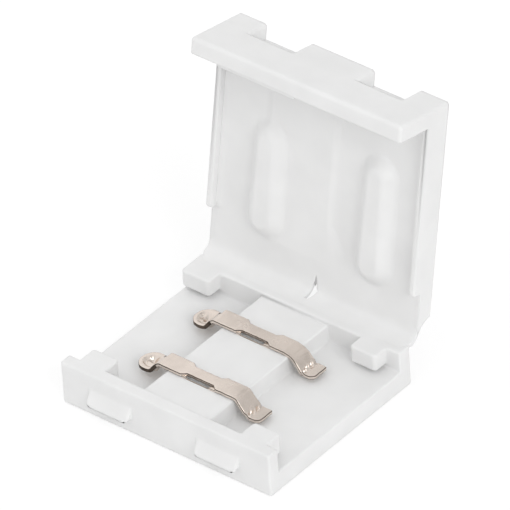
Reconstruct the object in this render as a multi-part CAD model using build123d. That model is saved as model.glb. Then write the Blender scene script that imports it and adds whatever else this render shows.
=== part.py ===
from build123d import *
import os

# Outside sizes of the base, measured from the middle of its underside
length = 15.5
width = 13.0
floor_top = 1.36
front_wall_top = 2.95
back_wall_top = 2.75
front_wall = 0.85
back_wall = 0.95
platform_top = 2.50
platform_from = 5.25
platform_to = 10.18
bottom_round = 0.15
corner_round = 0.15

# Tabs that hold the strips down at the four corners
tab_gap = 0.28
tab_round = 0.25
front_tab_in = 0.80
front_tab_length = 1.92
front_tab_reach = 1.25
back_tab_reach = 1.05
back_left_tab_length = 2.10
back_right_tab_in = 1.00
back_right_tab_length = 1.90

# Sloped catches on the front of the base
catch_depth = 0.50
catch_bottom = 0.90
catch_face = 0.20
catch_rise = 1.15
catch_width = 3.10
catch_left = 2.15
catch_pitch = 8.00
catch_round = 0.45

# Contacts, one thin stamping each
contact_pitch = 5.0
sheet = 0.25
body_width = 1.28
waist_width = 0.80
pad_x = 3.66
pad_radius = 0.86
pad_rim = 1.80
pad_dish = 0.20
neck_width = 0.66
neck_from = 4.10
neck_lap = 0.50
neck_flat = 0.12
neck_taper = 0.25
neck_crest = 0.05
body_from = 4.72
body_to = 10.42
waist_from = 6.50
waist_to = 8.46
waist_slope = 0.28
foot_x = 11.18
foot_to = 12.02
foot_low = 1.60
leg_run = 1.50
top_bend = 0.45
foot_bend = 0.20

# Slot beside each contact's waist, its side rail and the two barbs that hold the contact
slot_depth = 0.75
slot_clear = 0.04
rail_width = 0.10
rail_height = 0.19
barb_width = 0.22
barb_thick = 0.16
barb_drop = 0.60
barb_lap = 0.05
barb_foot = 0.10

# Lid, given along its length from behind the hinge and down from its outer face
lid_behind = 0.58
lid_outer_from = 1.30
lid_inner_from = 0.55
lid_end_bow = 0.12
plate = 1.20
lip_depth = 4.45
lip_thick = 1.10
lip_gap = 0.07
rim_width = 0.40
rim_height = 0.65
rim_start = 3.10
rim_clear = 0.05
notch_depth = 1.77
notch_cut = 1.00
notch_width = 3.24
notch_left = 2.10
tip_round = 0.25
block_round = 0.22
rib_height = 0.72
rib_width = 1.72
rib_end_width = 1.94
rib_from = 2.90
rib_left_to = 9.75
rib_right_to = 10.45
rib_round = 0.32
rib_x_left = 4.02
rib_x_right = 12.02
land_height = 0.14
land_round = 0.08
land_from = 1.46
land_knee = 3.60
land_foot = 8.00
land_right = 8.46
land_to = 12.60

# Living hinge: two thin webs with a pointed slit between them
web_root = 0.28
web_thick = 0.18
web_bow = 0.05
slit_left = 7.62
slit_gap = 0.23
slit_width = 0.56
slit_lean = 0.35
slit_corner = 0.55
slit_reach = 1.38
slit_flare = 1.05
hinge_out = 0.17
hinge_up = 0.38
open_angle = 101.0

# Sizes that follow from those above
closed_top = front_wall_top + rim_clear + rim_height + plate
lip_inner_y = -(catch_depth + lip_gap)
lid_zero_y = width + lid_behind
lid_length = lid_zero_y - lip_inner_y + lip_thick
hinge_y = width + hinge_out
hinge_z = back_wall_top + hinge_up
slit_foot = slit_left + slit_gap
slit_right = slit_left + slit_width
slit_tip = slit_left + slit_lean
shift = Pos(-length / 2, -width / 2, 0)


def block(x0, x1, y0, y1, z0, z1):
    return Pos((x0 + x1) / 2, (y0 + y1) / 2, (z0 + z1) / 2) * Box(x1 - x0, y1 - y0, z1 - z0)


def lid_block(x0, x1, w0, w1, d0, d1):
    # The lid is drawn shut: w runs from the hinge to the lip, d from the outer face inwards
    return block(x0, x1, lid_zero_y - w1, lid_zero_y - w0, closed_top - d1, closed_top - d0)


# Base tray
tray = block(0, length, 0, width, 0, floor_top)
tray += block(0, length, 0, front_wall, 0, front_wall_top)
tray += block(0, length, width - back_wall, width, 0, back_wall_top)
tray += block(platform_from, platform_to, 0, width, 0, platform_top)
tab_under = floor_top + tab_gap
back_inner = width - back_wall - back_tab_reach
right_tab = length - back_right_tab_in - back_right_tab_length
front_tab_to = front_wall + front_tab_reach
for start in (front_tab_in, length - front_tab_in - front_tab_length):
    tab = block(start, start + front_tab_length, 0, front_tab_to, tab_under, front_wall_top)
    tray += fillet(tab.edges().filter_by(Axis.Z).group_by(Axis.Y)[-1], tab_round)
for start, size in ((0, back_left_tab_length), (right_tab, back_right_tab_length)):
    tab = block(start, start + size, back_inner, width, tab_under, back_wall_top)
    tray += fillet(tab.edges().filter_by(Axis.Z).group_by(Axis.Y)[0], tab_round)
tray = fillet(tray.edges().filter_by(Axis.X).group_by(Axis.Z)[0], bottom_round)
tall = tray.edges().filter_by(Axis.Z).group_by(Axis.Y)
tray = fillet(tall[0] + tall[-1], corner_round)

# A catch is a ramp with a short upright face and rounded lower corners
catch_side = Polyline(
    (0.05, catch_bottom),
    (-catch_depth, catch_bottom),
    (-catch_depth, catch_bottom + catch_face),
    (0.05, catch_bottom + catch_rise),
    close=True,
)
catch_face_sketch = Plane.YZ * make_face(catch_side)
catch = extrude(catch_face_sketch, catch_width)
lower_corners = catch.edges().filter_by(Axis.Y).group_by(Axis.Z)[0]
catch = fillet(lower_corners, catch_round)
for step in range(2):
    tray += Pos(catch_left + step * catch_pitch, 0, 0) * catch

# Slots beside the contacts' waists
half = body_width / 2
waist = waist_width / 2
contact_y = (width / 2 - contact_pitch / 2, width / 2 + contact_pitch / 2)
for y in contact_y:
    slot_near = y - half + rail_width - slot_clear
    slot_far = y - waist + slot_clear
    slot_low = platform_top - slot_depth
    tray -= block(waist_from - slot_clear, waist_to + slot_clear, slot_near, slot_far, slot_low, platform_top + slot_depth)

# Contact: side line of the sheet, cut to the outline seen from above
mid = sheet / 2
side_line = FilletPolyline(
    (neck_from - neck_lap, pad_rim + mid),
    (neck_from + neck_flat, pad_rim + mid),
    (body_from - neck_crest, platform_top + mid),
    (body_to - leg_run, platform_top + mid),
    radius=foot_bend,
)
leg_line = FilletPolyline(
    (body_to - leg_run, platform_top + mid),
    (body_to, platform_top + mid),
    ((body_to + foot_x) / 2, (platform_top + foot_low) / 2 + mid),
    radius=top_bend,
)
foot_line = FilletPolyline(
    ((body_to + foot_x) / 2, (platform_top + foot_low) / 2 + mid),
    (foot_x, foot_low + mid),
    (foot_to, foot_low + mid),
    radius=foot_bend,
)
side_face = Plane.XZ * trace(side_line + leg_line + foot_line, line_width=sheet)
ribbon = Pos(0, body_width, 0) * extrude(side_face, body_width * 2)
outline_line = Polyline(
    (neck_from - neck_lap, -neck_width / 2),
    (body_from - neck_taper, -neck_width / 2),
    (body_from, -half),
    (waist_from - waist_slope, -half),
    (waist_from, -waist),
    (waist_to, -waist),
    (waist_to + waist_slope, -half),
    (foot_to + sheet, -half),
    (foot_to + sheet, half),
    (waist_to + waist_slope, half),
    (waist_to, waist),
    (waist_from, waist),
    (waist_from - waist_slope, half),
    (body_from, half),
    (body_from - neck_taper, neck_width / 2),
    (neck_from - neck_lap, neck_width / 2),
    close=True,
)
contact = ribbon & extrude(make_face(outline_line), platform_top * 2)

# Round pad, dished and turned about its own middle
dish_low = pad_rim - pad_dish
dish_mid = pad_rim - pad_dish * 0.8
dish_line = [
    ThreePointArc((0, dish_low), (pad_radius * 0.5, dish_mid), (pad_radius, pad_rim)),
    Line((pad_radius, pad_rim), (pad_radius, pad_rim + sheet)),
    ThreePointArc((pad_radius, pad_rim + sheet), (pad_radius * 0.5, dish_mid + sheet), (0, dish_low + sheet)),
    Line((0, dish_low + sheet), (0, dish_low)),
]
dish = revolve(Plane.XZ * make_face(dish_line), Axis.Z)
contact += Pos(pad_x, 0, 0) * dish

# Rail and barbs beside the waist
rail_from = waist_from - waist_slope / 2
rail_to = waist_to + waist_slope / 2
contact += block(rail_from, rail_to, -half, -half + rail_width, platform_top, platform_top + rail_height)
barb_top = platform_top + sheet
for x in (waist_from + barb_width / 2, waist_to - barb_width / 2):
    leg_from = -half + rail_width
    barb_from = x - barb_width / 2
    barb_to = x + barb_width / 2
    arm = block(barb_from, barb_to, leg_from, -waist + barb_lap, platform_top, barb_top)
    leg = block(barb_from, barb_to, leg_from, leg_from + barb_thick, platform_top - barb_drop, barb_top)
    foot = block(barb_from, barb_to, -half + rail_width / 2, leg_from + barb_lap, platform_top, barb_top - barb_foot)
    contact += arm + leg + foot
contact_front = Pos(0, contact_y[0], 0) * contact
contact_rear = Pos(0, contact_y[1], 0) * contact

# Lid, drawn shut: one side profile, w from the hinge to the lip, d from the outer face inwards
root = lid_length - lip_thick
end_low = plate - web_thick
bow_w = (lid_outer_from + lid_inner_from) / 2 + lid_end_bow
bow_d = end_low / 2 + lid_end_bow
profile = [
    Line((lid_outer_from, 0), (lid_length, 0)),
    Line((lid_length, 0), (lid_length, lip_depth)),
    Line((lid_length, lip_depth), (root, lip_depth)),
    Line((root, lip_depth), (root, plate)),
    Line((root, plate), (lid_inner_from, plate)),
    Line((lid_inner_from, plate), (lid_inner_from, end_low)),
    ThreePointArc((lid_inner_from, end_low), (bow_w, bow_d), (lid_outer_from, 0)),
]
shut = Plane((0, lid_zero_y, closed_top), x_dir=(0, -1, 0), z_dir=(1, 0, 0))
lid = extrude(shut * make_face(profile), length)
lid = fillet(lid.edges().filter_by(Axis.X).group_by(Axis.Z)[0].sort_by(Axis.Y)[0], tip_round)
for start in (0, length - rim_width):
    rim = lid_block(start, start + rim_width, rim_start, root + 0.2, plate - 0.1, plate + rim_height)
    lid += fillet(rim.edges().filter_by(Axis.X).group_by(Axis.Z)[0].sort_by(Axis.Y)[-1], tip_round)
for start in (notch_left, notch_left + catch_pitch):
    lid -= lid_block(start, start + notch_width, lid_length - notch_cut, lid_length + 1, -1, notch_depth)
lid = fillet(lid.edges().filter_by(Axis.Z).group_by(Axis.Y)[0], block_round)

# Ribs that press the strips down, wider at the hinge end
for x, rib_to in ((rib_x_left, rib_left_to), (rib_x_right, rib_right_to)):
    end_r = rib_end_width / 2
    far_r = rib_width / 2
    low_y = lid_zero_y - rib_from - end_r
    high_y = lid_zero_y - rib_to + far_r
    shape = Pos(x, low_y) * Circle(end_r) + Pos(x, high_y) * Circle(far_r)
    shape += make_face(
        Polyline((x - end_r, low_y), (x + end_r, low_y), (x + far_r, high_y), (x - far_r, high_y), close=True)
    )
    rib = extrude(Pos(0, 0, closed_top - plate - rib_height) * shape, rib_height + 0.1)
    rib = fillet(rib.edges().group_by(Axis.Z)[0], rib_round)
    lid += rib

# Low land between the left rib and the middle of the lid
land_line = Polyline(
    (rib_x_left, lid_zero_y - rib_from - rib_end_width / 2),
    (rib_x_left + rib_end_width / 2, lid_zero_y - rib_from),
    (land_foot, lid_zero_y - land_from),
    (land_right, lid_zero_y - land_knee),
    (land_right, lid_zero_y - land_to),
    (rib_x_left, lid_zero_y - land_to),
    close=True,
)
land = extrude(Pos(0, 0, closed_top - plate - land_height) * make_face(land_line), land_height + 0.1)
lid += fillet(land.edges().group_by(Axis.Z)[0], land_round)

# Where the living hinge meets the wall and the thin inner end of the open lid, seen from the side
opened = Pos(hinge_y, hinge_z) * Rot(0, 0, -open_angle) * Pos(-hinge_y, -hinge_z)
lid_under = (opened * Pos(lid_zero_y - lid_inner_from, closed_top - end_low)).position
lid_inside = (opened * Pos(lid_zero_y - lid_inner_from, closed_top - plate)).position
wall_under = Vector(width, back_wall_top - web_root)
wall_inside = Vector(width, back_wall_top)

# The slit narrows from the wall to its tip in the lid, where it flares towards the back
on_lid = slit_reach - lid_inner_from
lid_share = on_lid / (on_lid + (lid_inside - wall_inside).length)
left_at_lid = slit_tip + (slit_left - slit_tip) * lid_share
right_at_lid = slit_tip + (slit_right - slit_tip) * lid_share
tip_line = Polyline(
    (left_at_lid, lid_zero_y - lid_inner_from),
    (right_at_lid, lid_zero_y - lid_inner_from),
    (slit_tip, lid_zero_y - slit_reach),
    close=True,
)
tip_face = Pos(0, 0, closed_top - plate - land_height) * make_face(tip_line)
lid -= extrude(tip_face, plate + land_height, dir=(0, 0, 1))
lid -= extrude(tip_face, plate + land_height, dir=(-slit_flare, 0, plate))

# The lid stands open as it is moulded
hinge_axis = Axis((0, hinge_y, hinge_z), (1, 0, 0))
lid_open = lid.rotate(hinge_axis, -open_angle)

# Living hinge: one thin strip, parted by the slit
under_mid = (lid_under + wall_under) / 2 + Vector(web_bow, -web_bow)
inside_mid = (lid_inside + wall_inside) / 2 + Vector(web_bow, -web_bow)
web_edges = [
    ThreePointArc(wall_under, under_mid, lid_under),
    Line(lid_under, lid_inside),
    ThreePointArc(lid_inside, inside_mid, wall_inside),
    Line(wall_inside, wall_under),
]
web_face = Plane.YZ * make_face(web_edges)
web_end = lid_under.X + web_thick
slit_line = Polyline(
    (slit_left, width),
    (slit_foot, width),
    (slit_right, width + slit_corner),
    (right_at_lid, web_end),
    (left_at_lid, web_end),
    close=True,
)
slit = extrude(make_face(slit_line), front_wall_top * 2)
web_left = Pos(corner_round, 0, 0) * extrude(web_face, slit_foot - corner_round) - slit
web_right = Pos(slit_foot, 0, 0) * extrude(web_face, length - corner_round - slit_foot) - slit

os.makedirs("parts", exist_ok=True)
export_step(shift * tray, "parts/base_tray.step")
export_step(shift * lid_open, "parts/lid.step")
export_step(shift * web_left, "parts/hinge_web_left.step")
export_step(shift * web_right, "parts/hinge_web_right.step")
export_step(shift * contact_front, "parts/contact_front.step")
export_step(shift * contact_rear, "parts/contact_rear.step")
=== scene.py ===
import math
import bmesh
import bpy
import numpy as np
from mathutils import Matrix, Vector
from mathutils.geometry import delaunay_2d_cdt


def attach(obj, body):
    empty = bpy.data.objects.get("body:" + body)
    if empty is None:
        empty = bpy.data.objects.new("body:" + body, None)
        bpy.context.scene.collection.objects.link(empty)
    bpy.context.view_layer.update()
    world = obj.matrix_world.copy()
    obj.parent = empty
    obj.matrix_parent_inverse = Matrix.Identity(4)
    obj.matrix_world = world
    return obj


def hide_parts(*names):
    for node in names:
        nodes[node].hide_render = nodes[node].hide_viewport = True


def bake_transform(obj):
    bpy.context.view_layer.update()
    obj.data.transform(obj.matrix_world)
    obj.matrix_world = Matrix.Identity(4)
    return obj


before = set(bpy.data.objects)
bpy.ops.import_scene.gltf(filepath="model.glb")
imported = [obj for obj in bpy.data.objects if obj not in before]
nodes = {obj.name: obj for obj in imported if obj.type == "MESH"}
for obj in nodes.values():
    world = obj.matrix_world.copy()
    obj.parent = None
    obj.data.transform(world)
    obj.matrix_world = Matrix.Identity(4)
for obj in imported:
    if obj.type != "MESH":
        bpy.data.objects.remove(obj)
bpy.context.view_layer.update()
print("frame loaded:", ", ".join(sorted(nodes)))

mm = 0.001
length = 15.5  # the base's, in mm
baseCorner = (-7.75, -6.5)  # sizes below are in mm from the base's front left corner
lidFoot = (14.780, 2.399)  # y and z of the foot of the open lid's outer face
lidWay = (0.1908, 0.9816)  # y and z of one mm up the open lid
weldGap = 0.002  # corners of a solid closer than this, in mm, are one
leastGap = 1e-6  # points of an outline closer than this, in mm, are one


def at(x, y, z):
    return Vector(((x + baseCorner[0]) * mm, (y + baseCorner[1]) * mm, z * mm))


def fromCorner(spot):
    return spot.x / mm - baseCorner[0], spot.y / mm - baseCorner[1], spot.z / mm


def onLid(x, w, d):
    # w runs up the open lid from behind the hinge, d inwards from its outer face
    back, up = lidWay
    return Vector((x, lidFoot[0] + back * w - up * d, lidFoot[1] + up * w + back * d))


def offLid(y, z):
    back, up = lidWay
    y, z = y - lidFoot[0], z - lidFoot[1]
    return back * y + up * z, back * z - up * y


def share(value):
    return min(1, max(0, value))


def smooth(value):
    return value * value * (3 - 2 * value)


# Shared effects, one node group each


def newGroup(name, inputs, outputs):
    group = bpy.data.node_groups.new(name, "ShaderNodeTree")
    for label, kind, value in inputs:
        socket = group.interface.new_socket(name=label, in_out="INPUT", socket_type=kind)
        socket.default_value = value
    for label, kind in outputs:
        group.interface.new_socket(name=label, in_out="OUTPUT", socket_type=kind)
    return group, group.nodes.new("NodeGroupInput"), group.nodes.new("NodeGroupOutput")


def addMath(tree, operation, a, b, clamp=False):
    node = tree.nodes.new("ShaderNodeMath")
    node.operation = operation
    node.use_clamp = clamp
    for socket, value in zip(node.inputs, (a, b)):
        if hasattr(value, "is_output"):
            tree.links.new(value, socket)
        else:
            socket.default_value = value
    return node.outputs[0]


def makeEdgeGroup():
    group, start, end = newGroup(
        "edgeTone",
        [("Reach", "NodeSocketFloat", 0.0001), ("Contrast", "NodeSocketFloat", 3.0)],
        [("Mask", "NodeSocketFloat"), ("Normal", "NodeSocketVector")],
    )
    # the mask marks rounded edges, where the looks paint their edge light and shade
    rounded = group.nodes.new("ShaderNodeBevel")
    rounded.samples = 6
    flat = group.nodes.new("ShaderNodeNewGeometry")
    dot = group.nodes.new("ShaderNodeVectorMath")
    dot.operation = "DOT_PRODUCT"
    group.links.new(start.outputs["Reach"], rounded.inputs["Radius"])
    group.links.new(rounded.outputs["Normal"], dot.inputs[0])
    group.links.new(flat.outputs["Normal"], dot.inputs[1])
    turned = addMath(group, "SUBTRACT", 1.0, dot.outputs["Value"])
    mask = addMath(group, "MULTIPLY", turned, start.outputs["Contrast"], clamp=True)
    group.links.new(mask, end.inputs["Mask"])
    group.links.new(rounded.outputs["Normal"], end.inputs["Normal"])
    return group


def makeGrainGroup():
    group, start, end = newGroup(
        "moldGrain",
        [
            ("Scale", "NodeSocketFloat", 9000.0),
            ("Stretch", "NodeSocketVector", (1, 1, 1)),
            ("Detail", "NodeSocketFloat", 3.0),
        ],
        [("Height", "NodeSocketFloat")],
    )
    coords = group.nodes.new("ShaderNodeTexCoord")
    stretch = group.nodes.new("ShaderNodeVectorMath")
    stretch.operation = "MULTIPLY"
    noise = group.nodes.new("ShaderNodeTexNoise")
    group.links.new(coords.outputs["Object"], stretch.inputs[0])
    group.links.new(start.outputs["Stretch"], stretch.inputs[1])
    group.links.new(stretch.outputs["Vector"], noise.inputs["Vector"])
    group.links.new(start.outputs["Scale"], noise.inputs["Scale"])
    group.links.new(start.outputs["Detail"], noise.inputs["Detail"])
    group.links.new(noise.outputs["Fac"], end.inputs["Height"])
    return group


def makeMottleGroup():
    group, start, end = newGroup(
        "cloudyTone",
        [
            ("Scale", "NodeSocketFloat", 400.0),
            ("Low", "NodeSocketColor", (0.7, 0.7, 0.7, 1)),
            ("High", "NodeSocketColor", (0.8, 0.8, 0.8, 1)),
        ],
        [("Color", "NodeSocketColor"), ("Mask", "NodeSocketFloat")],
    )
    coords = group.nodes.new("ShaderNodeTexCoord")
    noise = group.nodes.new("ShaderNodeTexNoise")
    noise.inputs["Detail"].default_value = 2.5
    spread = group.nodes.new("ShaderNodeMapRange")
    spread.inputs["From Min"].default_value = 0.3
    spread.inputs["From Max"].default_value = 0.7
    mix = group.nodes.new("ShaderNodeMix")
    mix.data_type = "RGBA"
    group.links.new(coords.outputs["Object"], noise.inputs["Vector"])
    group.links.new(start.outputs["Scale"], noise.inputs["Scale"])
    group.links.new(noise.outputs["Fac"], spread.inputs["Value"])
    group.links.new(spread.outputs["Result"], mix.inputs["Factor"])
    lowSocket, highSocket = [s for s in mix.inputs if s.type == "RGBA"]
    group.links.new(start.outputs["Low"], lowSocket)
    group.links.new(start.outputs["High"], highSocket)
    group.links.new([s for s in mix.outputs if s.type == "RGBA"][0], end.inputs["Color"])
    group.links.new(spread.outputs["Result"], end.inputs["Mask"])
    return group


edgeTone = makeEdgeGroup()
moldGrain = makeGrainGroup()
cloudyTone = makeMottleGroup()


def place(tree, group, **values):
    node = tree.nodes.new("ShaderNodeGroup")
    node.node_tree = group
    for label, value in values.items():
        node.inputs[label].default_value = value
    return node


def mixColor(tree, factor, a, b):
    mix = tree.nodes.new("ShaderNodeMix")
    mix.data_type = "RGBA"
    tree.links.new(factor, mix.inputs[0])
    for socket, value in zip([s for s in mix.inputs if s.type == "RGBA"], (a, b)):
        if hasattr(value, "is_output"):
            tree.links.new(value, socket)
        else:
            socket.default_value = value
    return [s for s in mix.outputs if s.type == "RGBA"][0]


def addTone(tree, shader, look, edgeReach):
    # a cloudy color with painted light along the edges (a painted highlight on the plastic, a painted dark
    # reflection on the plating), with roughness that follows the clouds
    cloud = place(tree, cloudyTone, Scale=look["cloudScale"], Low=look["low"], High=look["high"])
    edge = place(tree, edgeTone, Reach=edgeReach, Contrast=look["edgeContrast"])
    color = mixColor(tree, edge.outputs["Mask"], cloud.outputs["Color"], look["edge"])
    tree.links.new(color, shader.inputs["Base Color"])
    rough = tree.nodes.new("ShaderNodeMapRange")
    rough.inputs["To Min"].default_value = look["roughLow"]
    rough.inputs["To Max"].default_value = look["roughHigh"]
    tree.links.new(cloud.outputs["Mask"], rough.inputs["Value"])
    tree.links.new(rough.outputs["Result"], shader.inputs["Roughness"])
    return edge.outputs["Normal"]


def addBump(tree, shader, height, strength, depth, normal):
    bump = tree.nodes.new("ShaderNodeBump")
    bump.inputs["Strength"].default_value = strength
    bump.inputs["Distance"].default_value = depth
    tree.links.new(height, bump.inputs["Height"])
    tree.links.new(normal, bump.inputs["Normal"])
    tree.links.new(bump.outputs["Normal"], shader.inputs["Normal"])


# Materials

plasticLook = dict(
    low=(0.785, 0.785, 0.783, 1),  # the milky white where it is densest
    high=(0.825, 0.825, 0.823, 1),
    edge=(0.86, 0.86, 0.858, 1),  # painted highlight: edges lightened to stand for light shining through thin edges
    cloudScale=420.0,
    edgeReach=0.00018,  # how far an edge looks rounded, in metres
    thinReach=0.00002,  # and on the thin skin
    edgeContrast=0.35,
    roughLow=0.38,
    roughHigh=0.48,
    subsurface=0.3,
    thinSubsurface=0.0,  # the living hinge is too thin to glow from within
    bleed=(1.0, 1.0, 1.0),
    bleedScale=0.0002,
    grainScale=14000.0,
    grainStrength=0.12,
    grainDepth=0.000004,
)


def makePlastic(name, look, subsurface, edgeReach):
    material = bpy.data.materials.new(name)
    material.use_nodes = True
    tree = material.node_tree
    shader = tree.nodes["Principled BSDF"]
    shader.inputs["Subsurface Weight"].default_value = subsurface
    shader.inputs["Subsurface Radius"].default_value = look["bleed"]
    shader.inputs["Subsurface Scale"].default_value = look["bleedScale"]
    shader.inputs["IOR"].default_value = 1.5
    normal = addTone(tree, shader, look, edgeReach)
    grain = place(tree, moldGrain, Scale=look["grainScale"])
    addBump(tree, shader, grain.outputs["Height"], look["grainStrength"], look["grainDepth"], normal)
    return material


platingLook = dict(
    low=(0.74, 0.655, 0.59, 1),
    high=(0.83, 0.74, 0.67, 1),
    edge=(0.42, 0.36, 0.32, 1),  # painted dark reflection along the edges
    cloudScale=900.0,
    edgeReach=0.00005,
    edgeContrast=2.0,
    roughLow=0.17,
    roughHigh=0.30,
    lineScale=9000.0,
    lineStretch=(0.12, 1, 1),
    lineStrength=0.25,
    lineDepth=0.000004,
)
darkReflectionLook = dict(  # painted dark reflection on the contacts' rounded edges and the pad's side
    low=(0.05, 0.04, 0.033, 1),
    high=(0.14, 0.11, 0.09, 1),
    edge=(0.05, 0.04, 0.033, 1),
    cloudScale=2600.0,
    edgeReach=0.00002,
    edgeContrast=1.0,
    roughLow=0.30,
    roughHigh=0.50,
    lineScale=16000.0,
    lineStretch=(1, 1, 0.2),
    lineStrength=0.5,
    lineDepth=0.000006,
)


def makeMetal(name, look):
    material = bpy.data.materials.new(name)
    material.use_nodes = True
    tree = material.node_tree
    shader = tree.nodes["Principled BSDF"]
    shader.inputs["Metallic"].default_value = 1.0
    normal = addTone(tree, shader, look, look["edgeReach"])
    lines = place(tree, moldGrain, Scale=look["lineScale"], Stretch=look["lineStretch"])
    addBump(tree, shader, lines.outputs["Height"], look["lineStrength"], look["lineDepth"], normal)
    return material


milky, thin = plasticLook["subsurface"], plasticLook["thinSubsurface"]
plastic = makePlastic("milkyPlastic", plasticLook, milky, plasticLook["edgeReach"])
thinPlastic = makePlastic("thinPlastic", plasticLook, thin, plasticLook["thinReach"])
plating = makeMetal("platedFace", platingLook)
# a near-black metal that paints dark reflections onto the contacts' edges
darkReflectionEdge = makeMetal("darkReflectionEdge", darkReflectionLook)
print("materials made")

# Outlines and thin formed sheets


def roundedLoop(corners, step=0.05):
    # corners are (x, y, radius), in order round the outline
    points = []
    count = len(corners)
    for i, (x, y, radius) in enumerate(corners):
        here = Vector((x, y))
        before = Vector(corners[i - 1][:2]) - here
        after = Vector(corners[(i + 1) % count][:2]) - here
        if radius <= 0:
            points.append(here)
            continue
        half = before.angle(after) / 2
        reach = min(radius / math.tan(half), 0.48 * before.length, 0.48 * after.length)
        radius = reach * math.tan(half)
        centre = here + (before.normalized() + after.normalized()).normalized() * (radius / math.sin(half))
        first = here + before.normalized() * reach - centre
        last = here + after.normalized() * reach - centre
        turn = first.angle_signed(last)
        pieces = max(2, int(abs(turn) * radius / step) + 1)
        for k in range(pieces + 1):
            angle = -turn * k / pieces
            points.append(centre + Matrix.Rotation(angle, 2) @ first)
    return points


def evenLoop(points, step):
    # the same outline with no long gap between its points
    out = []
    for i, here in enumerate(points):
        after = points[(i + 1) % len(points)]
        gap = (after - here).length
        if gap < leastGap:
            continue
        parts = max(1, round(gap / step))
        out += [here.lerp(after, k / parts) for k in range(parts)]
    return out


def loopNormals(points):
    normals = []
    for i, here in enumerate(points):
        way = points[(i + 1) % len(points)] - points[i - 1]
        normals.append(Vector((way.y, -way.x)).normalized())
    return normals


def areInside(points, loop):
    ends = np.array(loop)
    starts = np.roll(ends, 1, axis=0)
    x, y = points[:, 0:1], points[:, 1:2]
    spans = (ends[:, 1] > y) != (starts[:, 1] > y)
    rise = np.where(ends[:, 1] == starts[:, 1], 1.0, starts[:, 1] - ends[:, 1])
    left = x < (starts[:, 0] - ends[:, 0]) * (y - ends[:, 1]) / rise + ends[:, 0]
    return (spans & left).sum(axis=1) % 2 == 1


def gapsTo(points, loop):
    ends = np.array(loop)
    way = np.roll(ends, 1, axis=0) - ends
    x, y = points[:, 0:1] - ends[:, 0], points[:, 1:2] - ends[:, 1]
    t = np.clip((x * way[:, 0] + y * way[:, 1]) / np.maximum((way**2).sum(axis=1), 1e-12), 0, 1)
    return np.hypot(x - way[:, 0] * t, y - way[:, 1] * t).min(axis=1)


def areSheet(points, loops, margin):
    # which points lie in the first loop and outside the others, further than the margin from all of them
    keep = areInside(points, loops[0])
    for hole in loops[1:]:
        keep &= ~areInside(points, hole)
    if margin:
        for loop in loops:
            keep &= gapsTo(points, loop) > margin
    return keep


def finishMesh(name, work, materials, largeFace=math.inf):
    # faces over largeFace, in square metres, are shaded flat
    for face in work.faces:
        face.smooth = face.calc_area() < largeFace
    mesh = bpy.data.meshes.new(name)
    work.to_mesh(mesh)
    work.free()
    for material in materials:
        mesh.materials.append(material)
    piece = bpy.data.objects.new(name, mesh)
    bpy.context.collection.objects.link(piece)
    return piece


def cutBlank(loops, spots):
    # triangles between the loops, each corner with its number in the list of all loops and spots
    flat = [p for loop in loops for p in loop] + spots
    edges = []
    offset = 0
    for loop in loops:
        count = len(loop)
        edges += [(offset + i, offset + (i + 1) % count) for i in range(count)]
        offset += count
    points, _, faces, origins, _, _ = delaunay_2d_cdt(flat, edges, [], 0, leastGap)
    spread = np.array([tuple(p) for p in points])
    middles = np.array([spread[list(face)].mean(axis=0) for face in faces])
    keep = areSheet(middles, loops, 0)
    return [[(origins[i][0], points[i]) for i in face] for face, use in zip(faces, keep) if use]


sheetTurns = ((1, 30), (1, 60), (1, 90), (-1, 90), (-1, 60), (-1, 30))  # side and angle round a sheet's edge
sheetMargin = 0.03  # spots closer than this to the rounded edge are left out


def formSheet(name, outline, holes, spots, surface, edgeRadius, faceMaterial, edgeMaterial, isDark):
    # a flat blank, rounded along its edges and formed by surface(x, y),
    # which gives the middle, the normal, the ways of x and y, and the thickness
    # isDark(band, x) says which bands round its edge take the edge material, a painted dark reflection on the
    # contacts
    loops = [outline] + holes
    rims = [list(zip(loop, loopNormals(loop))) for loop in loops]
    feet = [[p - n * edgeRadius for p, n in rim] for rim in rims]
    if spots:
        keep = areSheet(np.array(spots), loops, edgeRadius + sheetMargin)
        spots = [Vector(spot) for spot, use in zip(spots, keep) if use]
    blank = cutBlank(feet, spots)
    work = bmesh.new()
    top, low = {}, {}
    for face in blank:
        for number, point in face:
            if number not in top:
                spot, normal, along, across, thick = surface(point.x, point.y)
                top[number] = work.verts.new(at(*(spot + normal * (thick / 2))))
                low[number] = work.verts.new(at(*(spot - normal * (thick / 2))))
    for face in blank:
        work.faces.new([top[number] for number, point in face])
        work.faces.new([low[number] for number, point in reversed(face)])
    offset = 0
    for rim, foot in zip(rims, feet):
        count = len(rim)
        bands = [[top[offset + i] for i in range(count)]]
        for side, turn in sheetTurns:
            reach = edgeRadius * math.sin(math.radians(turn))
            drop = edgeRadius * (1 - math.cos(math.radians(turn)))
            band = []
            for (p, n), start in zip(rim, foot):
                spot, normal, along, across, thick = surface(start.x, start.y)
                out = (along * n.x + across * n.y) * reach
                band.append(work.verts.new(at(*(spot + out + normal * (side * (thick / 2 - drop))))))
            bands.append(band)
        bands.append([low[offset + i] for i in range(count)])
        for k in range(len(bands) - 1):
            for i in range(count):
                j = (i + 1) % count
                face = work.faces.new((bands[k][i], bands[k + 1][i], bands[k + 1][j], bands[k][j]))
                face.material_index = 1 if isDark(k, rim[i][0].x) else 0
        offset += count
    bmesh.ops.recalc_face_normals(work, faces=work.faces)
    piece = finishMesh(name, work, [faceMaterial, edgeMaterial])
    weighted = piece.modifiers.new("evenShade", "WEIGHTED_NORMAL")
    weighted.keep_sharp = False
    return piece


# Contacts: each one thin stamping, formed from a flat blank

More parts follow.
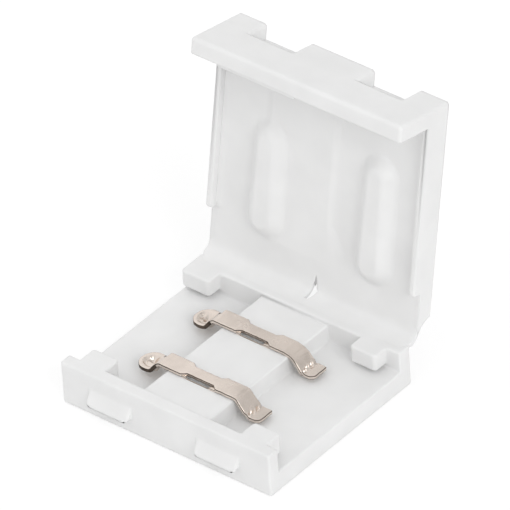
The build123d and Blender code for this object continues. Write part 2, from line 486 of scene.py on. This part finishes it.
contactLook = dict(
    sheet=0.25,
    edgeRadius=0.055,
    bend=0.07,  # reach of its bends
    slopeReach=0.02,  # its slope is measured over this much on each side
    burr=0.018,
    burrSize=0.33,
    padX=3.62,
    padRadius=0.86,
    padTurn=(47, 286),  # the pad's free edge, in degrees
    padSteps=30,
    padDrop=-0.21,  # depth of the pad's dish
    dishRadius=0.62,
    dishSteep=1.6,  # how quickly the dish comes in from its rim
    dentSteep=1.5,  # and its dents
    padDents=0.20,
    padDentSize=0.42,
    creaseX=11.2,
    creaseReach=0.22,
    creaseDents=0.33,
    creaseDentSize=0.26,
    wave=0.006,  # the whole sheet is a little uneven
    waveSize=2.4,
    bodyFrom=4.58,
    bodyTo=10.3,
    nearEdge=-0.67,
    farEdge=0.62,
    neckFar=-0.10,
    waistNear=-0.42,
    waistFar=0.39,
    waistFrom=6.58,
    waistTo=8.50,
    waistSlope=0.32,
    waistSoft=0.08,
    footFrom=10.9,
    footTo=12.04,
    footNear=-0.74,
    footFar=0.58,
    footSoft=0.3,
    tipNear=0.42,
    tipFar=0.10,
    railFrom=6.30,
    railTo=8.80,
    lugFrom=6.60,
    lugTo=8.30,
    railInner=-0.60,
    lugInner=-0.46,
    lugSlope=0.03,
    railSoft=0.08,
    railMiddle=2.47,
    lugRise=0.08,
    lugFade=0.1,
    railThick=0.16,
    railEdge=0.03,
    fine=0.055,  # spacing of its points at the pad and the foot
    coarse=0.1,
    fineTo=4.45,
    fineFrom=10.9,
    halfWidth=0.85,
    outlineStep=0.08,
)
# height of the sheet's middle along x, up to the platform and down again
padSide = [(2.6, 1.92), (4.02, 2.00), (4.36, 2.45), (4.62, 2.625)]
footSide = [(11.10, 1.80), (11.26, 1.725), (12.3, 1.725)]
frontSide = padSide + [(10.24, 2.625), (10.34, 2.595)] + footSide
rearSide = padSide + [(9.86, 2.625), (10.36, 2.52), (10.68, 2.32)] + footSide
# columns of points: first x, spacing, count
contactColumns = ((2.8, 0.055, 31), (4.5, 0.11, 46), (9.56, 0.055, 46))


def smoothHeight(line, x, window):
    # height of the sheet's middle at x, with its bends rounded over the window
    total = 0
    count = 9  # samples
    for k in range(count):
        u = x + window * (2 * k / (count - 1) - 1)
        for (x0, z0), (x1, z1) in zip(line, line[1:]):
            if u <= x1 or (x1, z1) == line[-1]:
                total += z0 + (z1 - z0) * (u - x0) / (x1 - x0)
                break
    return total / count


def crumple(x, y, size, seed):
    # small dents of about the given size, the same each time: four waves that cross at odd angles
    waves = 4
    turn = 6.283
    value = 0
    for k in range(waves):
        angle = seed * 1.7 + k * 2.4
        across = x * math.cos(angle) + y * math.sin(angle)
        value += math.sin(across * turn / (size * (1 + 0.35 * k)) + seed * 3.1 + k)
    return value / waves


def contactOutline(v, seed):
    near, far, soft = v["nearEdge"], v["farEdge"], v["waistSoft"]
    slopeFrom, slopeTo = v["waistFrom"] - v["waistSlope"], v["waistTo"] + v["waistSlope"]
    corners = [(v["bodyFrom"], far, 0.12), (v["bodyFrom"], v["neckFar"], 0.14)]
    first, last = v["padTurn"]
    for k in range(v["padSteps"] + 1):
        angle = math.radians(first + (last - first) * k / v["padSteps"])
        corners.append((v["padX"] + v["padRadius"] * math.cos(angle), v["padRadius"] * math.sin(angle), 0))
    corners += [
        (v["bodyFrom"] - 0.25, near, 0.10),
        (slopeFrom, near, soft),
        (v["waistFrom"], v["waistNear"], soft),
        (v["waistTo"], v["waistNear"], soft),
        (slopeTo, near, soft),
        (v["bodyTo"], near, v["footSoft"]),
        (v["footFrom"], v["footNear"], v["footSoft"]),
        (v["footTo"], v["footNear"], v["tipNear"]),
        (v["footTo"], v["footFar"], v["tipFar"]),
        (v["footFrom"], far, v["footSoft"]),
        (slopeTo, far, soft),
        (v["waistTo"], v["waistFar"], soft),
        (v["waistFrom"], v["waistFar"], soft),
        (slopeFrom, far, soft),
    ]
    outline = evenLoop(roundedLoop(corners), v["outlineStep"])
    ways = loopNormals(outline)
    return [p + n * (v["burr"] * crumple(p.x, p.y, v["burrSize"], seed)) for p, n in zip(outline, ways)]


def railOutline(v):
    near, lug, inner = v["nearEdge"], v["lugInner"], v["railInner"]
    corners = [
        (v["railFrom"], near, 0.06),
        (v["railTo"], near, 0.06),
        (v["railTo"], lug, v["railSoft"]),
        (v["lugTo"], lug, v["railSoft"]),
        (v["lugTo"] + v["lugSlope"], inner, 0.03),
        (v["lugFrom"] - v["lugSlope"], inner, 0.03),
        (v["lugFrom"], lug, v["railSoft"]),
        (v["railFrom"], lug, v["railSoft"]),
    ]
    return evenLoop(roundedLoop(corners, 0.02), v["outlineStep"])


def makeContact(name, node, centreY, line, seed, v):
    def surface(x, y):
        height = smoothHeight(line, x, v["bend"])
        reach = v["slopeReach"]
        rise = smoothHeight(line, x + reach, v["bend"]) - smoothHeight(line, x - reach, v["bend"])
        slope = rise / (2 * reach)
        fromPad = math.hypot(x - v["padX"], y)
        if fromPad < v["dishRadius"]:  # the pad is dished and dented by its punch
            inner = 1 - (fromPad / v["dishRadius"]) ** 2
            dents = crumple(x, y, v["padDentSize"], seed)
            height += v["padDrop"] * min(1, v["dishSteep"] * inner)
            height += v["padDents"] * dents * min(1, v["dentSteep"] * inner)
        fromCrease = abs(x - v["creaseX"]) / v["creaseReach"]
        if fromCrease < 1:  # tool marks along the bend of the foot
            dents = crumple(x, y, v["creaseDentSize"], seed + 5)
            height += v["creaseDents"] * dents * (1 - fromCrease)
        height += v["wave"] * crumple(x, y, v["waveSize"], seed + 9)
        along = Vector((1, 0, slope)).normalized()
        normal = Vector((-slope, 0, 1)).normalized()
        return Vector((x, y + centreY, height)), normal, along, Vector((0, 1, 0)), v["sheet"]

    def railSurface(x, y):
        fade = v["lugFade"]
        fromEnd = share((x - v["lugTo"] + fade) / (2 * fade)) + share((v["lugFrom"] + fade - x) / (2 * fade))
        height = v["railMiddle"] + v["lugRise"] * fromEnd
        ways = Vector((0, 0, 1)), Vector((1, 0, 0)), Vector((0, 1, 0))
        return Vector((x, y + centreY, height)), *ways, v["railThick"]

    def isDark(band, x):
        return band in (1, 2, 4, 5) or (band == 3 and x < 4.4)  # painted dark reflection on the rounded edge bands, and on the pad's side

    spots = []
    for x in [first + step * k for first, step, count in contactColumns for k in range(count)]:
        step = v["fine"] if x < v["fineTo"] or x > v["fineFrom"] else v["coarse"]
        rows = int(2 * v["halfWidth"] / step) + 1
        spots += [(x, step * k - v["halfWidth"]) for k in range(rows)]

    outline = contactOutline(v, seed)
    main = formSheet(name, outline, [], spots, surface, v["edgeRadius"], plating, darkReflectionEdge, isDark)
    outline = railOutline(v)
    rail = formSheet(name + "Rail", outline, [], [], railSurface, v["railEdge"], plating, darkReflectionEdge, isDark)
    for part in (main, rail):
        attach(part, "base")
        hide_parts(node)


makeContact("contactFrontStamping", "contact_front", 4.0, frontSide, 1, contactLook)
makeContact("contactRearStamping", "contact_rear", 9.0, rearSide, 2, contactLook)
print("contacts formed")

# Base and lid: their solids' own shapes, each edge rounded by how far the moulding softened it

softLook = dict(
    flatAngle=2.0,  # faces that lie closer than this, in degrees, count as one
    sharpAngle=26,  # edges sharper than this are rounded
    largeFace=100,  # faces over this many mm2 are shaded flat
    segments=4,
    base=0.10,  # radii in mm
    lid=0.105,
    thin=0.02,
    slotX=(6.3, 8.6),  # the slots beside the contacts
    frontSlotY=(3.3, 3.8),
    rearSlotY=(8.3, 8.8),
    slotZ=(1.5, 2.6),
    slitX=(7.15, 8.75),
    slitTop=2.2,
    landX=(2.7, 9.0),
    landTop=13.5,
    landDepth=(1.0, 1.4),
    notchFrom=14.0,
    notchDepth=2.0,
    endTop=1.45,  # the lid's thin end by the hinge
    sideTop=3.0,
    sideX=(0.3, 15.2),
    ribX=(2.9, 13.1),
    ribUp=(1.4, 13.9),
    ribDepth=(1.21, 2.1),
    sunk=1.19,
)


def isIn(value, limits):
    return limits[0] < value < limits[1]


def baseRadius(x, y, z, look):
    beside = isIn(y, look["frontSlotY"]) or isIn(y, look["rearSlotY"])
    return look["thin"] if beside and isIn(x, look["slotX"]) and isIn(z, look["slotZ"]) else look["base"]


def lidRadius(x, y, z, look):
    w, d = offLid(y, z)
    slit = isIn(x, look["slitX"]) and w < look["slitTop"]
    land = isIn(d, look["landDepth"]) and isIn(x, look["landX"]) and w < look["landTop"]
    notch = w > look["notchFrom"] and d < look["notchDepth"]
    if slit or land or notch or w < look["endTop"]:  # those edges stay as the solid has them
        return 0
    return look["thin"] if w < look["sideTop"] and not isIn(x, look["sideX"]) else look["lid"]


def sinkRibs(work, look):
    # the skin carries the ribs and the land, so the solid's own lie just under its face
    for vert in work.verts:
        x, y, z = fromCorner(vert.co)
        w, d = offLid(y, z)
        if isIn(d, look["ribDepth"]) and isIn(w, look["ribUp"]) and isIn(x, look["ribX"]):
            vert.co = at(*onLid(x, w, look["sunk"]))
    bmesh.ops.remove_doubles(work, verts=work.verts, dist=weldGap * mm)
    bmesh.ops.dissolve_degenerate(work, edges=work.edges, dist=weldGap * mm / 2)


def soften(name, node, body, radius, look, reshape=None):
    source = nodes[node]
    work = bmesh.new()
    work.from_mesh(source.data)
    work.transform(source.matrix_world)
    bmesh.ops.remove_doubles(work, verts=work.verts, dist=weldGap * mm)
    if reshape:
        reshape(work, look)
    flat = math.radians(look["flatAngle"])
    bmesh.ops.dissolve_limit(work, angle_limit=flat, verts=work.verts, edges=work.edges)
    weight = work.edges.layers.float.new("bevel_weight_edge")
    for edge in work.edges:
        turn = edge.calc_face_angle_signed(0) if len(edge.link_faces) == 2 else 0
        if abs(turn) > math.radians(look["sharpAngle"]):
            middle = (edge.verts[0].co + edge.verts[1].co) / 2
            edge[weight] = radius(*fromCorner(middle), look)
            edge.smooth = edge[weight] > 0
    piece = finishMesh(name, work, [plastic], look["largeFace"] * mm * mm)
    bevel = piece.modifiers.new("softEdges", "BEVEL")
    bevel.width = mm  # times each edge's weight, which is its radius
    bevel.segments = look["segments"]
    bevel.limit_method = "WEIGHT"
    bevel.use_clamp_overlap = False
    shade = piece.modifiers.new("evenShade", "WEIGHTED_NORMAL")
    shade.keep_sharp = True
    shade.weight = 100
    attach(piece, body)
    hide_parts(node)


soften("softBase", "base_tray", "base", baseRadius, softLook)
soften("softLid", "lid", "lid", lidRadius, softLook, sinkRibs)
print("base and lid softened")

# Living hinge and the lid's inner face: one smooth skin from the wall's top to the lip

skinLook = dict(
    edge=0.14,  # how far it stays in from the ends, where it dives into the solids
    hingeEdge=0.0,
    freeFrom=0.85,  # way along the skin where the hinge hangs free
    freeTo=1.55,
    freeSlope=0.25,
    diveFrom=0.45,  # from the middle of the free stretch
    diveFade=0.3,
    diveEdge=0.36,
    diveSlope=0.05 / 0.22,
    slit=[(7.62, 0.74), (7.86, 0.74), (8.17, 1.42), (8.105, 1.82), (7.98, 2.42), (7.82, 1.82)],  # x, way
    path=[(12.3, 2.738), (12.75, 2.765), (13.05, 2.81), (13.45, 2.94), (13.62, 3.09), (13.705, 3.30)],  # y, z
    thick=[0.10, 0.20, 0.30, 0.24, 0.22, 0.22],
    lidThick=0.20,
    lidStops=(1.0, 1.7, 3.0, 14.30),  # up the lid
    lidFade=1.5,
    plate=1.20,
    lift=0.006,
    stations=1200,
    slopeReach=6,  # its slope is measured over this many stations on each side
    spacing=0.115,
    corner=0.07,
    slitCorner=0.015,
    slitStep=0.08,
    edgeRadius=0.03,
    bendFrom=(7.75, 13.05, 2.81),
    bendTo=(7.75, 13.66, 3.18),
    ribs=[(4.02, 3.87, 0.97, 8.89, 0.86), (12.02, 3.87, 0.97, 9.59, 0.86)],  # x, way up and radius, twice
    ribHeight=0.70,
    ribCrown=0.45,
    ribSkirt=0.58,
    land=[(4.02, 3.87), (4.99, 2.90), (8.00, 1.46), (8.46, 3.60), (8.46, 12.60), (4.02, 12.60)],  # x, way up
    landHeight=0.155,
    landSkirt=0.55,
    footSkirt=1.5,  # its skirt is wider by this near the slit
    footTo=5.0,
    footFade=2.0,
    fillet=0.20,  # how far it climbs the rims and the lip
    filletWidth=0.55,
    rimIn=0.4,
    rimFrom=3.0,
    rimFade=0.4,
    lipRoot=14.15,
)


def ribRise(x, w, rib, look):
    ribX, low, lowRadius, high, highRadius = rib
    t = share((w - low) / (high - low))
    radius = lowRadius + (highRadius - lowRadius) * t
    out = math.hypot(x - ribX, w - low - t * (high - low)) - radius
    fall = share((out + look["ribCrown"]) / (look["ribCrown"] + look["ribSkirt"]))
    return look["ribHeight"] * (1 - smooth(fall))


def lidRise(x, w, look):
    # how far land, ribs and fillets stand over the plate
    here = np.array([(x, w)])
    gap = float(gapsTo(here, look["land"])[0])
    if areInside(here, look["land"])[0]:
        gap = -gap
    skirt = look["landSkirt"] + look["footSkirt"] * share((look["footTo"] - w) / look["footFade"])
    rise = look["landHeight"] * (1 - smooth(share(gap / skirt)))
    for rib in look["ribs"]:
        rise += ribRise(x, w, rib, look) * (1 - rise / look["ribHeight"])
    fromRim = max(0, min(x, length - x) - look["rimIn"]) / look["filletWidth"]
    fromLip = max(0, look["lipRoot"] - w) / look["filletWidth"]
    alongRim = share((w - look["rimFrom"]) / look["rimFade"]) * max(0, 1 - fromRim) ** 2
    rise += look["fillet"] * max(alongRim, max(0, 1 - fromLip) ** 2)
    return rise * min(1, (w - look["lidStops"][0]) / look["lidFade"])


def skinPath(look):
    # y, z and thickness from the wall's top up the lid, with its corners cut three times
    values = [(y, z, t) for (y, z), t in zip(look["path"], look["thick"])]
    for w in look["lidStops"]:
        spot = onLid(0, w, look["plate"] + look["lift"])
        values.append((spot.y, spot.z, look["lidThick"]))
    for turn in range(3):
        cut = [values[0]]
        for a, b in zip(values, values[1:]):
            cut.append(tuple(u * 0.75 + v * 0.25 for u, v in zip(a, b)))
            cut.append(tuple(u * 0.25 + v * 0.75 for u, v in zip(a, b)))
        cut.append(values[-1])
        values = cut
    return values


def makeSkin(look):
    values = skinPath(look)
    way = [0]
    for a, b in zip(values, values[1:]):
        way.append(way[-1] + math.hypot(b[0] - a[0], b[1] - a[1]))
    total = way[-1]
    count = look["stations"]
    stations = [total * k / count for k in range(count + 1)]
    table = list(zip(*[np.interp(stations, way, column).tolist() for column in zip(*values)]))
    freeMiddle = (look["freeFrom"] + look["freeTo"]) / 2

    def surface(x, s):
        spot = s / total * count
        k = min(count - 1, max(1, round(spot)))
        y, z, thick = (u + (v - u) * (spot - k) for u, v in zip(table[k], table[k + 1]))
        before, after = table[max(0, k - look["slopeReach"])], table[min(count, k + look["slopeReach"])]
        along = Vector((0, after[0] - before[0], after[1] - before[1])).normalized()
        normal = Vector((0, -along.z, along.y))
        w, _ = offLid(y, z)
        rise = lidRise(x, w, look) if w > look["lidStops"][0] else 0
        dive = share((abs(s - freeMiddle) - look["diveFrom"]) / look["diveFade"])
        rise -= look["diveSlope"] * dive * max(0, look["diveEdge"] - min(x, length - x))
        middle = Vector((x, y, z)) + normal * (rise - thick / 2)
        return middle, normal, Vector((1, 0, 0)), along, thick

    edge, free = look["edge"], look["hingeEdge"]
    side = [
        (edge, 0),
        (edge, look["freeFrom"] - look["freeSlope"]),
        (free, look["freeFrom"]),
        (free, look["freeTo"]),
        (edge, look["freeTo"] + look["freeSlope"]),
        (edge, total),
    ]
    step, corner = look["spacing"], look["corner"]
    corners = [(x, s, corner) for x, s in side[::-1]] + [(length - x, s, corner) for x, s in side]
    outline = evenLoop(roundedLoop(corners, 0.02), step)
    slitCorners = [(x, s, look["slitCorner"]) for x, s in look["slit"][::-1]]
    slit = evenLoop(roundedLoop(slitCorners, 0.02), look["slitStep"])
    columns, rows = range(1, int(length / step)), range(1, int(total / step))
    spots = [(step * column, step * row) for column in columns for row in rows]

    def isDark(band, x):
        return False

    radius = look["edgeRadius"]
    piece = formSheet("innerSkin", outline, [slit], spots, surface, radius, thinPlastic, thinPlastic, isDark)
    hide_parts("hinge_web_left", "hinge_web_right")
    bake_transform(piece)
    return piece


skin = makeSkin(skinLook)
print("hinge and inner face formed:", len(skin.data.polygons), "faces")

# Low ridge along the left half of the lip's inner edge

ridgeLook = dict(
    left=2.05,
    right=7.72,
    low=14.07,
    root=14.32,
    inner=3.86,
    slope=0.04,
    tip=4.44,
    radius=0.05,
    segments=4,
)


def makeRidge(look):
    low, root, inner, tip = look["low"], look["root"], look["inner"], look["tip"]
    work = bmesh.new()
    ends = []
    for x in (look["left"], look["right"]):
        ring = [(root, inner), (low, inner + look["slope"]), (low, tip), (root, tip)]
        ends.append([work.verts.new(at(*onLid(x, w, d))) for w, d in ring])
    work.faces.new(ends[0])
    work.faces.new(ends[1][::-1])
    for i in range(4):
        work.faces.new((ends[0][i], ends[0][i - 1], ends[1][i - 1], ends[1][i]))
    bmesh.ops.recalc_face_normals(work, faces=work.faces)
    piece = finishMesh("lipRidge", work, [plastic])
    bevel = piece.modifiers.new("softEdges", "BEVEL")
    bevel.width = look["radius"] * mm
    bevel.segments = look["segments"]
    shade = piece.modifiers.new("evenShade", "WEIGHTED_NORMAL")
    shade.keep_sharp = False
    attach(piece, "lid")


makeRidge(ridgeLook)
print("lip ridge formed")

# Floor, light, camera

studioLook = dict(
    floorColor=(0.90, 0.90, 0.90, 1),
    floorSize=1.6,
    floorShare=0.6,  # share of plain white in the floor that the camera sees
    floorGlow=1.12,
    worldLight=1.00,  # strength of the sky on the open side
    worldDark=0.66,  # and on the side it fades to
    fadeTo=(0.958, 0.287, 0.0),
    fadeRange=(-0.6, 0.9),
    skyLow=0.88,  # share of it at the horizon and straight up
    skyTop=1.06,
    keyStrength=1.0,
    keyAngle=35,
    keyFrom=(0.80, -0.30, 0.50),
)


def makeFloor(look):
    size = look["floorSize"] / 2
    mesh = bpy.data.meshes.new("studioFloor")
    corners = [(-size, -size, 0), (size, -size, 0), (size, size, 0), (-size, size, 0)]
    mesh.from_pydata(corners, [], [(0, 1, 2, 3)])
    floor = bpy.data.objects.new("studioFloor", mesh)
    bpy.context.collection.objects.link(floor)
    material = bpy.data.materials.new("studioPaper")
    material.use_nodes = True
    tree = material.node_tree
    shader = tree.nodes["Principled BSDF"]
    shader.inputs["Base Color"].default_value = look["floorColor"]
    shader.inputs["Roughness"].default_value = 1.0
    shader.inputs["Specular IOR Level"].default_value = 0.0
    glow = tree.nodes.new("ShaderNodeEmission")
    path = tree.nodes.new("ShaderNodeLightPath")
    mix = tree.nodes.new("ShaderNodeMixShader")
    glow.inputs["Strength"].default_value = look["floorGlow"]
    white = addMath(tree, "MULTIPLY", path.outputs["Is Camera Ray"], look["floorShare"])
    tree.links.new(white, mix.inputs["Fac"])
    tree.links.new(shader.outputs["BSDF"], mix.inputs[1])
    tree.links.new(glow.outputs["Emission"], mix.inputs[2])
    tree.links.new(mix.outputs["Shader"], tree.nodes["Material Output"].inputs["Surface"])
    mesh.materials.append(material)


def makeSky(look):
    world = bpy.data.worlds.new("studioWorld")
    world.use_nodes = True
    bpy.context.scene.world = world
    tree = world.node_tree
    light = tree.nodes["Background"]
    way = tree.nodes.new("ShaderNodeTexCoord")
    lean = tree.nodes.new("ShaderNodeVectorMath")
    lean.operation = "DOT_PRODUCT"
    lean.inputs[1].default_value = look["fadeTo"]
    fade = tree.nodes.new("ShaderNodeMapRange")
    fade.interpolation_type = "SMOOTHSTEP"
    fade.inputs["From Min"].default_value = look["fadeRange"][0]
    fade.inputs["From Max"].default_value = look["fadeRange"][1]
    fade.inputs["To Min"].default_value = look["worldLight"]
    fade.inputs["To Max"].default_value = look["worldDark"]
    tree.links.new(way.outputs["Generated"], lean.inputs[0])
    tree.links.new(lean.outputs["Value"], fade.inputs["Value"])
    split = tree.nodes.new("ShaderNodeSeparateXYZ")
    rise = tree.nodes.new("ShaderNodeMapRange")
    rise.inputs["To Min"].default_value = look["skyLow"]
    rise.inputs["To Max"].default_value = look["skyTop"]
    tree.links.new(way.outputs["Generated"], split.inputs["Vector"])
    tree.links.new(split.outputs["Z"], rise.inputs["Value"])
    strength = addMath(tree, "MULTIPLY", fade.outputs["Result"], rise.outputs["Result"])
    tree.links.new(strength, light.inputs["Strength"])
    light.inputs["Color"].default_value = (1, 1, 1, 1)
    white = tree.nodes.new("ShaderNodeBackground")
    path = tree.nodes.new("ShaderNodeLightPath")
    mix = tree.nodes.new("ShaderNodeMixShader")
    tree.links.new(path.outputs["Is Camera Ray"], mix.inputs["Fac"])
    tree.links.new(light.outputs["Background"], mix.inputs[1])
    tree.links.new(white.outputs["Background"], mix.inputs[2])
    tree.links.new(mix.outputs["Shader"], tree.nodes["World Output"].inputs["Surface"])


def makeLamp(look):
    lamp = bpy.data.lights.new("keyLight", "SUN")
    lamp.energy = look["keyStrength"]
    lamp.angle = math.radians(look["keyAngle"])
    key = bpy.data.objects.new("keyLight", lamp)
    key.rotation_euler = Vector(look["keyFrom"]).to_track_quat("Z", "Y").to_euler()
    bpy.context.collection.objects.link(key)


cameraLook = dict(
    turn=41.208,  # degrees
    rise=37.020,
    roll=-3.793,
    distance=0.5978,
    lens=731.7,
    aim=(-0.0005469, 0.0029587, 0.0079306),
)


def makeCamera(look):
    turn, rise, roll = (math.radians(look[k]) for k in ("turn", "rise", "roll"))
    back = Vector((math.sin(turn) * math.cos(rise), -math.cos(turn) * math.cos(rise), math.sin(rise)))
    right = Vector((math.cos(turn), math.sin(turn), 0))
    up = back.cross(right)
    side = right * math.cos(roll) + up * math.sin(roll)
    top = up * math.cos(roll) - right * math.sin(roll)
    lens = bpy.data.cameras.new("photoCamera")
    lens.lens = look["lens"]
    lens.sensor_width = 36
    lens.clip_start = 0.01
    camera = bpy.data.objects.new("photoCamera", lens)
    spot = Matrix.Translation(Vector(look["aim"]) + back * look["distance"])
    camera.matrix_world = spot @ Matrix((side, top, back)).transposed().to_4x4()
    bpy.context.collection.objects.link(camera)
    bpy.context.scene.camera = camera


makeFloor(studioLook)
makeSky(studioLook)
makeLamp(studioLook)
makeCamera(cameraLook)
bpy.context.scene.view_settings.view_transform = "Standard"
print("studio ready")
